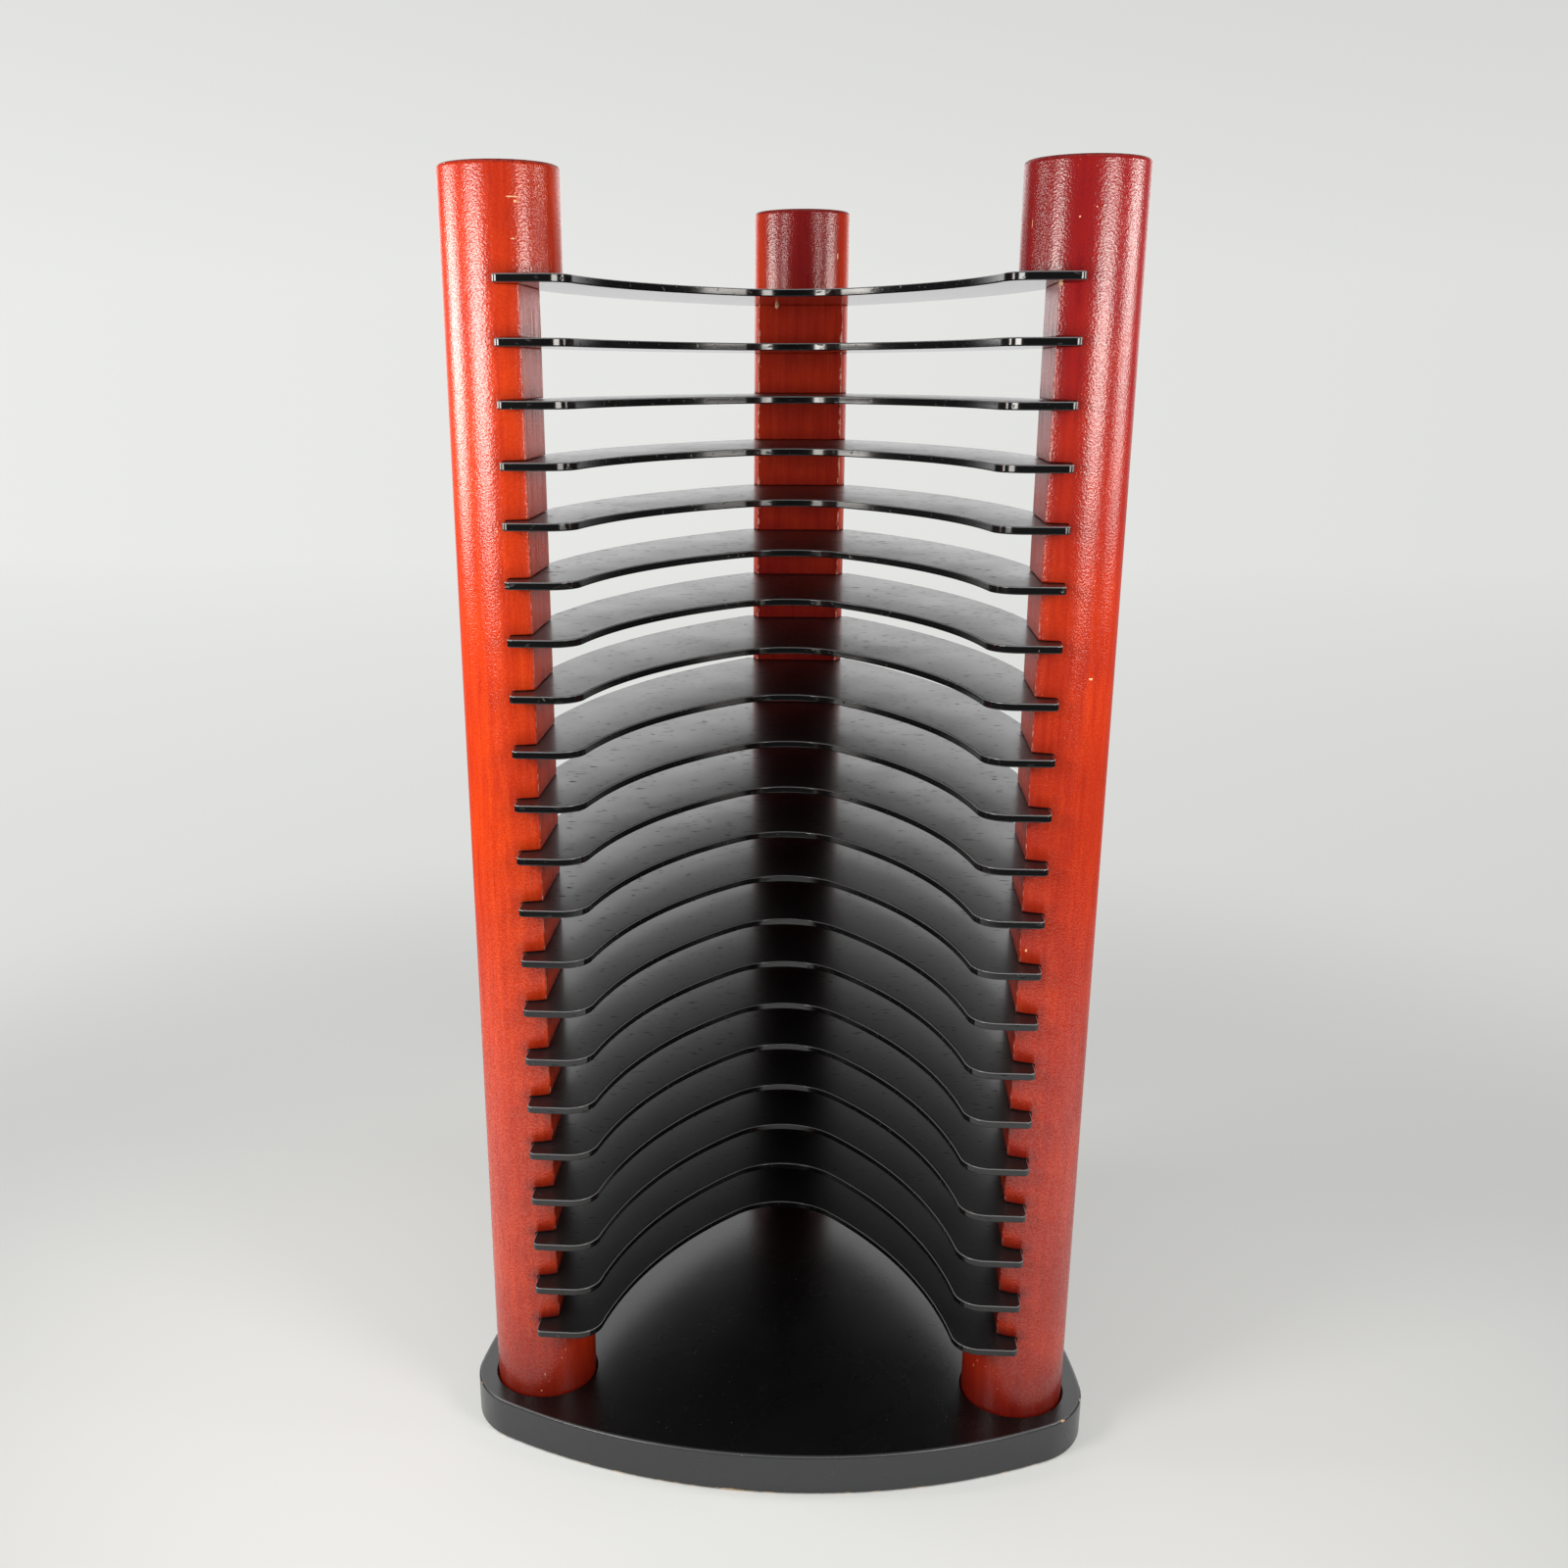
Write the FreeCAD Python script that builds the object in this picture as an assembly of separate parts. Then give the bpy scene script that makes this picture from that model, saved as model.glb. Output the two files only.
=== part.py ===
import FreeCAD, Part
import math
import os

# Tower for disc cases: three round posts on a bowed triangular base carry thin shelves in saw kerfs.
# Millimetres, +Z up, front towards -Y. The origin is on the floor, midway along the base's width and depth.

# Disc case and its slots
case_width = 125.0
case_side_play = 2.0
slot_count = 20
slot_pitch = 14.5

# Posts: round stock with a flat milled on the side that faces the cases
post_diameter = 30.0
post_flat_setback = 6.7
post_top_reach = 25.7
post_rim_round = 1.0

# Shelves: thin board with eased edges, a tab before each front post and a squared tip at the rear post
shelf_thickness = 2.0
shelf_edge_round = 0.3
shelf_corner_round = 1.6
shelf_front_reach = 6.3
shelf_tip_reach = 1.9
lowest_shelf_clearance = 24.8
tab_length = 17.6

# Finger bay in the front of each shelf: two bowed sides that meet in a rounded tip
bay_depth = 79.5
bay_side_radius = 130.0
bay_tip_radius = 22.0
bay_mouth_round = 8.0

# Saw kerfs across the posts, ending just short of the post's axis
kerf_setback = 1.2
kerf_top_play = 0.15
kerf_end_play = 0.15

# Base plate: rounded triangle with bowed sides and a shallow socket under each post
base_thickness = 12.5
base_margin = 6.1
base_side_radius = 180.0
base_edge_round = 0.8
socket_depth = 5.0
socket_play = 0.3

# Countersunk screws from below into the feet of the posts
screw_diameter = 4.0
screw_head_diameter = 8.0
screw_length = 30.0
screw_tip_length = 4.0
screw_head_recess = 0.4
screw_slot_width = 1.0
screw_slot_depth = 1.0
screw_hole_play = 0.25
screw_seat_play = 0.05
screw_pilot_play = 0.05
screw_pilot_end_play = 1.0

# Every cut runs past the face that it opens by this much
cut_overrun = 2.0

# Plan of the tower: the post axes stand on an equal-sided triangle
post_radius = post_diameter / 2
half_spacing = case_width / 2 + case_side_play + post_flat_setback
triangle_depth = half_spacing * math.sqrt(3)
base_corner_radius = post_radius + base_margin
side_centre_reach = math.sqrt((base_side_radius - base_corner_radius) ** 2 - half_spacing ** 2)
base_front_reach = base_side_radius - side_centre_reach
front_row_y = (base_front_reach - triangle_depth - base_corner_radius) / 2
rear_row_y = front_row_y + triangle_depth

# Levels
post_foot = base_thickness - socket_depth
lowest_shelf = base_thickness + lowest_shelf_clearance
shelf_levels = [lowest_shelf + slot_pitch * step for step in range(slot_count + 1)]
top_kerf_ceiling = shelf_levels[-1] + shelf_thickness + kerf_top_play
post_top = shelf_levels[-1] + shelf_thickness + post_top_reach

# Shelf plan
shelf_half_width = half_spacing - kerf_setback - kerf_end_play
shelf_front_y = front_row_y - post_radius - shelf_front_reach
shelf_rear_y = rear_row_y - kerf_setback - kerf_end_play
shelf_tip_half_width = post_radius + shelf_tip_reach

screw_radius = screw_diameter / 2
screw_head_radius = screw_head_diameter / 2

# Name, axis place and turn of each post; an unturned post has its flat towards +X
posts = [
    ("left_post", FreeCAD.Vector(-half_spacing, front_row_y, 0), 0),
    ("right_post", FreeCAD.Vector(half_spacing, front_row_y, 0), 180),
    ("rear_post", FreeCAD.Vector(0, rear_row_y, 0), -90),
]
up = FreeCAD.Vector(0, 0, 1)


def plan(x, y):
    """Point of a plan outline, drawn on the floor."""
    return FreeCAD.Vector(x, y, 0)


def towards(start, end, distance):
    """Point at a distance from start on the line to end."""
    step = end.sub(start)
    return start.add(step.multiply(distance / step.Length))


def arc(start, middle, end):
    return Part.Arc(start, middle, end).toShape()


def arc_about(centre, radius, start, end):
    """Short arc between two points on a circle, through the point midway between them."""
    middle = towards(centre, start.add(end).multiply(0.5), radius)
    return arc(start, middle, end)


def board(edges, thickness):
    """Flat board, its outline given as edges in plan."""
    outline = Part.Wire(Part.__sortEdges__(edges))
    return Part.Face(outline).extrude(up * thickness)


def ease(solid, radius):
    """Solid with the edges round its top and bottom faces rounded."""
    rims = [edge for edge in solid.Edges if edge.BoundBox.ZLength < radius]
    return solid.makeFillet(radius, rims)


def turned(profile):
    """Solid turned about the Z axis from (radius, height) corners."""
    corners = [FreeCAD.Vector(radius, 0, height) for radius, height in profile]
    outline = Part.makePolygon(corners + corners[:1])
    return Part.Face(outline).revolve(FreeCAD.Vector(0, 0, 0), up, 360)


def base_outline():
    """Bowed sides that run tangent into corner rounds about the post axes."""
    axes = [place for name, place, turn in posts]
    centroid = axes[0].add(axes[1]).add(axes[2]).multiply(1 / len(axes))
    side_ends = []
    edges = []
    for index, start in enumerate(axes):
        end = axes[(index + 1) % len(axes)]
        middle = start.add(end).multiply(0.5)
        centre = towards(middle, centroid, side_centre_reach)
        first = towards(centre, start, base_side_radius)
        last = towards(centre, end, base_side_radius)
        edges.append(arc_about(centre, base_side_radius, first, last))
        side_ends.append((first, last))
    for index, axis in enumerate(axes):
        edges.append(arc_about(axis, base_corner_radius, side_ends[index - 1][1], side_ends[index][0]))
    return edges


def screw_hole():
    """Countersunk clearance hole from the floor up into the socket."""
    seat_radius = screw_head_radius + screw_seat_play
    hole_radius = screw_radius + screw_hole_play
    seat_top = screw_head_recess + seat_radius - hole_radius
    return turned([
        (0, -cut_overrun), (seat_radius, -cut_overrun), (seat_radius, screw_head_recess),
        (hole_radius, seat_top), (hole_radius, post_foot + cut_overrun), (0, post_foot + cut_overrun),
    ])


def make_base():
    plate = ease(board(base_outline(), base_thickness), base_edge_round)
    for name, place, turn in posts:
        floor = FreeCAD.Vector(place.x, place.y, post_foot)
        socket = Part.makeCylinder(post_radius + socket_play, socket_depth + cut_overrun, floor)
        hole = screw_hole()
        hole.translate(place)
        plate = plate.cut(socket).cut(hole)
    return plate


def inner_cut(setback, bottom, top):
    """Block that takes away a post's inner side beyond a setback from its axis."""
    reach = post_radius + cut_overrun
    return Part.makeBox(reach - setback, 2 * reach, top - bottom, FreeCAD.Vector(setback, -reach, bottom))


def make_post():
    """Post on its own axis, flat and kerfs towards +X, full round above and below the shelves."""
    post = Part.makeCylinder(post_radius, post_top - post_foot, FreeCAD.Vector(0, 0, post_foot))
    rim = [edge for edge in post.Edges if edge.BoundBox.ZMin > lowest_shelf]
    post = post.makeFillet(post_rim_round, rim)
    post = post.cut(inner_cut(post_flat_setback, lowest_shelf, top_kerf_ceiling))
    kerf_height = shelf_thickness + kerf_top_play
    post = post.cut([inner_cut(kerf_setback, level, level + kerf_height) for level in shelf_levels])
    pilot_end = screw_head_recess + screw_length + screw_pilot_end_play
    pilot = Part.makeCylinder(screw_radius + screw_pilot_play, pilot_end)
    return post.cut(pilot)


def shelf_side():
    """Left half of the shelf outline from the finger bay's tip, by the tab, to the rear tip."""
    tab_end = plan(tab_length - shelf_half_width, shelf_front_y)
    tip_y = shelf_front_y + bay_depth
    tip_centre = plan(0, tip_y - bay_tip_radius)
    # The bay side's centre lies a full radius from the tab's end and a tip radius less from the tip's centre
    inner_radius = bay_side_radius - bay_tip_radius
    span = tip_centre.sub(tab_end)
    along = (bay_side_radius ** 2 - inner_radius ** 2 + span.Length ** 2) / (2 * span.Length)
    aside = math.sqrt(bay_side_radius ** 2 - along ** 2)
    foot = towards(tab_end, tip_centre, along)
    bay_centre = towards(foot, foot.add(plan(span.y, -span.x)), aside)
    tip_start = towards(bay_centre, tip_centre, bay_side_radius)
    # The mouth's round touches the straight front edge and the bay side from outside
    mouth_y = shelf_front_y + bay_mouth_round
    mouth_reach = math.sqrt((bay_side_radius + bay_mouth_round) ** 2 - (mouth_y - bay_centre.y) ** 2)
    mouth_centre = plan(bay_centre.x - mouth_reach, mouth_y)
    mouth_start = towards(bay_centre, mouth_centre, bay_side_radius)
    mouth_end = plan(mouth_centre.x, shelf_front_y)
    # The outer corner is rounded, and the bowed side leaves it square to the front edge
    corner_centre = plan(shelf_corner_round - shelf_half_width, shelf_front_y + shelf_corner_round)
    corner_start = plan(corner_centre.x, shelf_front_y)
    corner_end = plan(-shelf_half_width, corner_centre.y)
    rear_corner = plan(-shelf_tip_half_width, shelf_rear_y)
    inset = shelf_half_width - shelf_tip_half_width
    depth = shelf_rear_y - corner_end.y
    side_radius = (inset ** 2 + depth ** 2) / (2 * inset)
    side_centre = plan(side_radius - shelf_half_width, corner_end.y)
    return [
        arc_about(tip_centre, bay_tip_radius, plan(0, tip_y), tip_start),
        arc_about(bay_centre, bay_side_radius, tip_start, mouth_start),
        arc_about(mouth_centre, bay_mouth_round, mouth_start, mouth_end),
        Part.LineSegment(mouth_end, corner_start).toShape(),
        arc_about(corner_centre, shelf_corner_round, corner_start, corner_end),
        arc_about(side_centre, side_radius, corner_end, rear_corner),
        Part.LineSegment(rear_corner, plan(0, shelf_rear_y)).toShape(),
    ]


def make_shelf():
    left = shelf_side()
    right = [edge.mirror(FreeCAD.Vector(0, 0, 0), FreeCAD.Vector(1, 0, 0)) for edge in left]
    return ease(board(left + right, shelf_thickness), shelf_edge_round)


def make_screw():
    """Slotted countersunk screw, point up, its head just above the floor."""
    head_top = screw_head_recess + screw_head_radius - screw_radius
    point = screw_head_recess + screw_length
    screw = turned([
        (0, screw_head_recess), (screw_head_radius, screw_head_recess), (screw_radius, head_top),
        (screw_radius, point - screw_tip_length), (0, point),
    ])
    slot_reach = screw_head_radius + cut_overrun
    slot_corner = FreeCAD.Vector(-slot_reach, -screw_slot_width / 2, screw_head_recess - cut_overrun)
    slot = Part.makeBox(2 * slot_reach, screw_slot_width, screw_slot_depth + cut_overrun, slot_corner)
    return screw.cut(slot)


def placed(shape, place, turn=0):
    """Copy of a shape, turned about its own axis and then moved to its place."""
    copy = shape.copy()
    copy.rotate(FreeCAD.Vector(0, 0, 0), up, turn)
    copy.translate(place)
    return copy


def save(node, shape):
    shape.exportStep(os.path.join("parts", node + ".step"))


os.makedirs("parts", exist_ok=True)

save("base_plate", make_base())

post = make_post()
for name, place, turn in posts:
    save(name, placed(post, place, turn))

shelf = make_shelf()
for number, level in enumerate(shelf_levels, start=1):
    save("shelf_%02d" % number, placed(shelf, FreeCAD.Vector(0, 0, level)))

screw = make_screw()
save("base_screws", Part.makeCompound([placed(screw, place) for name, place, turn in posts]))
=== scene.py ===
import math

import bpy
import numpy as np
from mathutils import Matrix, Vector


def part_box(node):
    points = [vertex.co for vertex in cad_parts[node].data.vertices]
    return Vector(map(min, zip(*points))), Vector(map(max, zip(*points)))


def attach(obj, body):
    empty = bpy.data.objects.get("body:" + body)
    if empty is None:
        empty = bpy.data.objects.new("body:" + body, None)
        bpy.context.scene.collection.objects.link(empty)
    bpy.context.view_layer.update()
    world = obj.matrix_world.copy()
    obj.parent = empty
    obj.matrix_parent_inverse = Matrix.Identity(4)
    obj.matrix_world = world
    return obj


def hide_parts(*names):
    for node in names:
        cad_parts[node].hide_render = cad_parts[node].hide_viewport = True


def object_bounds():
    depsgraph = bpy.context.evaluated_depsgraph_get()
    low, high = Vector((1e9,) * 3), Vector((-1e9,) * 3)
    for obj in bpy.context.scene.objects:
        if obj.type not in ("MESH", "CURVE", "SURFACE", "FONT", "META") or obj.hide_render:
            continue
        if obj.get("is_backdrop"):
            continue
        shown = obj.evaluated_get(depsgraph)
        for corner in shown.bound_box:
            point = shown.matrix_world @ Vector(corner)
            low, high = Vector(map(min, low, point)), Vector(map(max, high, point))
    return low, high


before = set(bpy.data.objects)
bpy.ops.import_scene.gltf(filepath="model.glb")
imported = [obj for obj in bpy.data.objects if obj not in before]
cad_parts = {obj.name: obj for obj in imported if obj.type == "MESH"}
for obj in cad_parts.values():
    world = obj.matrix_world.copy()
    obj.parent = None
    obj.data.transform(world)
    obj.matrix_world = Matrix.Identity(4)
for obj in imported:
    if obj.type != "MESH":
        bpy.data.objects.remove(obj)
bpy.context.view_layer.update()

# Tower for disc cases: three stained posts on a black base carry thin black shelves in saw kerfs.
# Metres, +Z up, front towards -Y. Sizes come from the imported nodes, and from the values below where a box
# can't tell.

MM = 0.001

# Posts
post_turns = {"left_post": 0.0, "right_post": math.pi, "rear_post": -math.pi / 2}
flat_setback = 6.7 * MM
flat_edge_round = 0.35 * MM
kerf_setback = 1.2 * MM
kerf_play = 0.15 * MM
kerf_edge_ease = 0.2 * MM
post_rim_round = 1.0 * MM
pilot_radius = 2.05 * MM
pilot_end = 31.4 * MM
# Depth of the stain up each post, partly painted shade towards the ends and on the right post's upper part:
# heights in millimetres, and the share of the deep colour at each
stain_and_shade_depth = {
    "left_post": ((12, 45, 100, 160, 290, 330, 355), (0.42, 0.18, 0.08, 0.0, 0.12, 0.25, 0.3)),
    "right_post": ((12, 45, 100, 170, 245, 275, 300, 330), (0.52, 0.4, 0.38, 0.34, 0.32, 0.54, 0.8, 0.95)),
    "rear_post": ((0, 180, 250, 290, 329, 335, 355), (0.9, 0.9, 0.62, 0.45, 0.45, 0.95, 1.0)),
}
# Painted light: share of the deep colour that a post's round sides lack where the side lamps light them, and
# the angles from the flat's middle between which it grows
painted_side_light = {"left_post": 0.0, "right_post": 0.0, "rear_post": 0.8}
painted_side_light_angles = (0.45, 1.1)
# Wear, with a painted highlight along the flats' edges: its reach from a flat's edges, and its share along
# the top rim
wear_and_highlight_reach = 1.2 * MM
rim_wear = 0.8
# Painted shade above the shelves, where the tabs meet the post, and round the foot: its reach, its share at
# heights in millimetres, the angle at which it ends and the angle over which it fades, and its share round
# the foot
painted_shade_reach = 3.8 * MM
painted_shade_heights = ((40, 150, 250), (1.0, 0.6, 0.4))
painted_shade_end = 1.75
painted_shade_fade = 0.3
foot_painted_shade = 0.65
# Strength of the cutter's marks in each post's flat
cut_marks = {"left_post": 1.0, "right_post": 0.8, "rear_post": 0.3}
# Rows of points beside a rounded edge lie this far from it
support_gap = 0.25 * MM
shelf_support = 0.06 * MM

# Shelves
shelf_edge_round = 0.3 * MM
shelf_corner_round = 1.6 * MM
shelf_tip_reach = 1.9 * MM
tab_length = 17.6 * MM
bay_depth = 79.5 * MM
bay_side_radius = 130.0 * MM
bay_tip_radius = 22.0 * MM
bay_mouth_round = 8.0 * MM
# Shares of fresh gloss coat below, round the edges and above, where cases rub, and the grey of the upper
# edges, which is rub wear and a painted highlight line
under_coat = 1.0
edge_coat = 0.1
upper_coat = 0.08
edge_rub_and_highlight = 0.8

# Base plate
base_margin = 6.1 * MM
base_side_radius = 180.0 * MM
base_edge_round = 0.8 * MM
socket_play = 0.3 * MM
socket_mouth_ease = 0.3 * MM
screw_hole_radius = 2.25 * MM
screw_seat_radius = 4.05 * MM
screw_seat_depth = 0.4 * MM
# Wear along the lower and the upper edge
floor_edge_wear = 1.0
upper_edge_wear = 0.6

# Places read from the frame
shelf_names = sorted(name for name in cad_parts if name.startswith("shelf_"))
shelf_boxes = [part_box(name) for name in shelf_names]
shelf_levels = [low.z for low, high in shelf_boxes]
shelf_low, shelf_high = shelf_boxes[0]
shelf_thickness = shelf_high.z - shelf_low.z
post_boxes = {name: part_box(name) for name in post_turns}
post_axes = {}
for post_name, (low, high) in post_boxes.items():
    post_axes[post_name] = np.array([(low.x + high.x) / 2, (low.y + high.y) / 2])
post_low, post_high = post_boxes["left_post"]
post_radius = (post_high.x - post_low.x) / 2
post_foot = post_low.z
post_top = post_high.z
base_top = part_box("base_plate")[1].z


def linear(code):
    """Linear colour with full opacity from an sRGB hex code."""
    parts = np.array([int(code[start:start + 2], 16) for start in (1, 3, 5)]) / 255
    value = np.where(parts <= 0.04045, parts / 12.92, ((parts + 0.055) / 1.055) ** 2.4)
    return (*value.tolist(), 1.0)


def fill(tree, node, inputs):
    """Sets or links a node's inputs."""
    for key, value in inputs.items():
        if isinstance(value, bpy.types.NodeSocket):
            tree.links.new(value, node.inputs[key])
        else:
            node.inputs[key].default_value = value


def add(tree, kind, inputs=(), **settings):
    """Adds a node, sets its properties and fills its inputs with values or links."""
    node = tree.nodes.new("ShaderNode" + kind)
    for key, value in settings.items():
        setattr(node, key, value)
    fill(tree, node, dict(inputs))
    return node


def start_material(name):
    """New node material: its tree, its shader and the Object coordinates."""
    material = bpy.data.materials.new(name)
    material.use_nodes = True
    tree = material.node_tree
    place = add(tree, "TexCoord").outputs["Object"]
    return material, tree, tree.nodes["Principled BSDF"], place


def chip_mask(tree, place, spots, wobble):
    """1 inside any of the spots and 0 outside: the least distance to a spot's centre, in units of its own
    half sizes, plus a wobble that makes the edge ragged, is compared with a limit."""
    raggedness = 1.4
    nearest = None
    for centre, half_sizes in spots:
        offset = add(tree, "VectorMath", {0: place, 1: centre}, operation="SUBTRACT").outputs[0]
        scaled = add(tree, "VectorMath", {0: offset, 1: half_sizes}, operation="DIVIDE").outputs[0]
        distance = add(tree, "VectorMath", {0: scaled}, operation="LENGTH").outputs["Value"]
        if nearest is None:
            nearest = distance
        else:
            nearest = add(tree, "Math", {0: nearest, 1: distance}, operation="MINIMUM").outputs[0]
    ragged = add(tree, "Math", {0: wobble, 1: raggedness, 2: nearest}, operation="MULTIPLY_ADD").outputs[0]
    limits = {"Value": ragged, "From Min": 1.55, "From Max": 1.75, "To Min": 1.0, "To Max": 0.0}
    return add(tree, "MapRange", limits).outputs[0]


# Chips in each post's lacquer: angle from +X in degrees, then height, half width and half height in
# millimetres
post_chips = {
    "left_post": [
        (-67.7, 346.7, 1.5, 0.17),
        (-64.0, 345.7, 0.45, 0.3),
        (-67.7, 337.4, 0.5, 0.15),
        (-137.4, 354.6, 0.5, 0.15),
        (-64.8, 354.7, 0.25, 0.2),
        (-93.7, 268.6, 0.2, 0.3),
        (-86.7, 14.3, 0.2, 0.2),
        (-57.0, 27.5, 0.1, 0.5),
        (-62.0, 25.0, 0.1, 0.35),
        (-82.0, 20.0, 0.12, 0.4),
        (-78.0, 17.5, 0.1, 0.2),
        (160.0, 90.0, 0.3, 0.7),
    ],
    "right_post": [
        (-102.0, 341.4, 0.22, 0.22),
        (-87.5, 343.5, 0.14, 0.14),
        (-151.4, 340.5, 0.14, 0.8),
        (-61.9, 232.7, 0.55, 0.3),
        (-109.9, 159.1, 0.3, 0.4),
        (-146.0, 25.0, 0.1, 0.4),
        (-140.0, 27.5, 0.1, 0.25),
        (-128.0, 27.0, 0.2, 0.1),
        (-112.0, 21.0, 0.12, 0.15),
        (-95.0, 24.0, 0.1, 0.1),
        (35.0, 210.0, 0.3, 0.6),
    ],
    "rear_post": [
        (-40.2, 341.4, 0.3, 0.9),
        (-89.6, 354.7, 0.25, 0.15),
        (75.0, 120.0, 0.5, 0.3),
        (110.0, 30.0, 0.5, 0.8),
    ],
}

# Nicks in the base plate's paint: place and half size in millimetres
base_nicks = [
    ((-89.9, -63.1, 12.3), (0.25, 0.6, 0.3)),
    ((-8.4, -91.0, 12.4), (1.2, 0.3, 0.2)),
    ((85.1, -69.1, 12.2), (0.9, 0.6, 0.3)),
    ((91.5, -58.9, 12.3), (0.45, 0.9, 0.4)),
    ((-12.1, -90.8, 0.3), (5.0, 0.6, 0.5)),
    ((-30.0, 55.0, 12.3), (0.8, 0.6, 0.4)),
    ((72.0, 10.0, 0.4), (1.5, 2.0, 0.5)),
    ((5.0, 91.0, 12.2), (1.1, 0.5, 0.4)),
]


def spots_on_posts(marks):
    """Centre and half sizes in metres of each post's marks, given by angle, height, half width and half
    height."""
    spots = []
    for post, post_marks in marks.items():
        for angle, height, across, up in post_marks:
            turn = math.radians(angle)
            plan = post_axes[post] + post_radius * np.array([math.cos(turn), math.sin(turn)])
            spots.append(((*plan.tolist(), height * MM), (across * MM, across * MM, up * MM)))
    return spots


def lacquered_beech():
    # Beech, turned, stained cherry red and sprayed with gloss lacquer: darker streaks run up the post,
    # short pores show as dark ticks, the coat mirrors lamps over a sandy orange peel, and chips and worn
    # edges bare the pale wood; the pale line along the flats' worn edges is also a painted highlight.
    material, tree, shader, place = start_material("beech_turned_stained_gloss_lacquer")
    streak_width = 1.6 * MM
    streak_length = 22.0 * MM
    blotch = 22.0 * MM
    # Pores are about 0.1 mm wide, drawn coarser so that they show
    pore_width = 0.45 * MM
    pore_length = 2.4 * MM
    # The lacquer's sandy grain is about 0.3 mm, drawn coarser so that it shows
    peel = 0.48 * MM
    peel_width = 0.6 * MM
    peel_depth = 0.088 * MM
    speck = 0.8 * MM
    cut_width = 0.5 * MM
    cut_length = 18.0 * MM
    ring_width = 9.0 * MM
    rub_width = 0.7 * MM
    rub_length = 2.2 * MM
    along_grain = {"Vector": place, "Scale": (1 / streak_width, 1 / streak_width, 1 / streak_length)}
    grain = add(tree, "Mapping", along_grain).outputs[0]
    figure = {"Vector": grain, "Scale": 1.0, "Detail": 4.0, "Roughness": 0.6}
    figure = add(tree, "TexNoise", figure).outputs[0]
    streaks = add(tree, "MapRange", {"Value": figure, "From Min": 0.3, "From Max": 0.7}).outputs[0]
    stain = {0: streaks, 6: linear("#C43207"), 7: linear("#E0470D")}
    stain = add(tree, "Mix", stain, data_type="RGBA").outputs[2]
    deep_stain = {0: streaks, 6: linear("#7A1016"), 7: linear("#8E171B")}
    deep_stain = add(tree, "Mix", deep_stain, data_type="RGBA").outputs[2]
    # Deep share: stain, and painted shade towards the posts' ends
    deep = add(tree, "Attribute", attribute_name="deep").outputs["Fac"]
    patches = add(tree, "TexNoise", {"Vector": place, "Scale": 1 / blotch, "Detail": 2.0}).outputs[0]
    uneven = {"Value": patches, "From Min": 0.35, "From Max": 0.7, "To Max": 0.26}
    uneven = add(tree, "MapRange", uneven).outputs[0]
    depth = add(tree, "Math", {0: deep, 1: uneven}, operation="ADD", use_clamp=True).outputs[0]
    stain = add(tree, "Mix", {0: depth, 6: stain, 7: deep_stain}, data_type="RGBA").outputs[2]
    # Painted shade: the posts are darkened in the corners above the shelves and round the foot
    painted_shade = add(tree, "Attribute", attribute_name="painted_shade").outputs["Fac"]
    stain = add(tree, "Mix", {0: painted_shade, 6: stain, 7: linear("#3C060A")}, data_type="RGBA").outputs[2]
    pore_map = {"Vector": place, "Scale": (1 / pore_width, 1 / pore_width, 1 / pore_length)}
    pore_map = add(tree, "Mapping", pore_map).outputs[0]
    pore_field = add(tree, "TexNoise", {"Vector": pore_map, "Scale": 1.0, "Detail": 1.0}).outputs[0]
    pores = add(tree, "MapRange", {"Value": pore_field, "From Min": 0.6, "From Max": 0.7}).outputs[0]
    pore_tint = add(tree, "Math", {0: pores, 1: 0.08}, operation="MULTIPLY").outputs[0]
    stain = add(tree, "Mix", {0: pore_tint, 6: stain, 7: linear("#6A0F08")}, data_type="RGBA").outputs[2]
    fleck_field = add(tree, "TexNoise", {"Vector": place, "Scale": 1 / speck, "Detail": 1.0}).outputs[0]
    flecks = add(tree, "MapRange", {"Value": fleck_field, "From Min": 0.78, "From Max": 0.84}).outputs[0]
    fleck_tint = add(tree, "Math", {0: flecks, 1: 0.5}, operation="MULTIPLY").outputs[0]
    stain = add(tree, "Mix", {0: fleck_tint, 6: stain, 7: linear("#E07A4C")}, data_type="RGBA").outputs[2]
    # Stain and dust lie darker in the hollows of the orange peel
    peel_map = {"Vector": place, "Scale": (1 / peel_width, 1 / peel_width, 1 / peel)}
    peel_map = add(tree, "Mapping", peel_map).outputs[0]
    peel_field = add(tree, "TexNoise", {"Vector": peel_map, "Scale": 1.0, "Detail": 1.0}).outputs[0]
    hollows = {"Value": peel_field, "From Min": 0.6, "From Max": 0.35, "To Max": 0.32}
    hollows = add(tree, "MapRange", hollows).outputs[0]
    stain = add(tree, "Mix", {0: hollows, 6: stain, 7: linear("#961F0B")}, data_type="RGBA").outputs[2]
    # The cutter left upright marks in the flats and the kerfs
    milled = add(tree, "Attribute", attribute_name="milled").outputs["Fac"]
    cut_map = {"Vector": place, "Scale": (1 / cut_width, 1 / cut_width, 1 / cut_length)}
    cut_map = add(tree, "Mapping", cut_map).outputs[0]
    cut_field = add(tree, "TexNoise", {"Vector": cut_map, "Scale": 1.0, "Detail": 3.0}).outputs[0]
    cuts = add(tree, "MapRange", {"Value": cut_field, "From Min": 0.5, "From Max": 0.68}).outputs[0]
    cuts = add(tree, "Math", {0: cuts, 1: milled}, operation="MULTIPLY").outputs[0]
    cut_tint = add(tree, "Math", {0: cuts, 1: 0.55}, operation="MULTIPLY").outputs[0]
    stain = add(tree, "Mix", {0: cut_tint, 6: stain, 7: linear("#4A0C07")}, data_type="RGBA").outputs[2]
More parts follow.
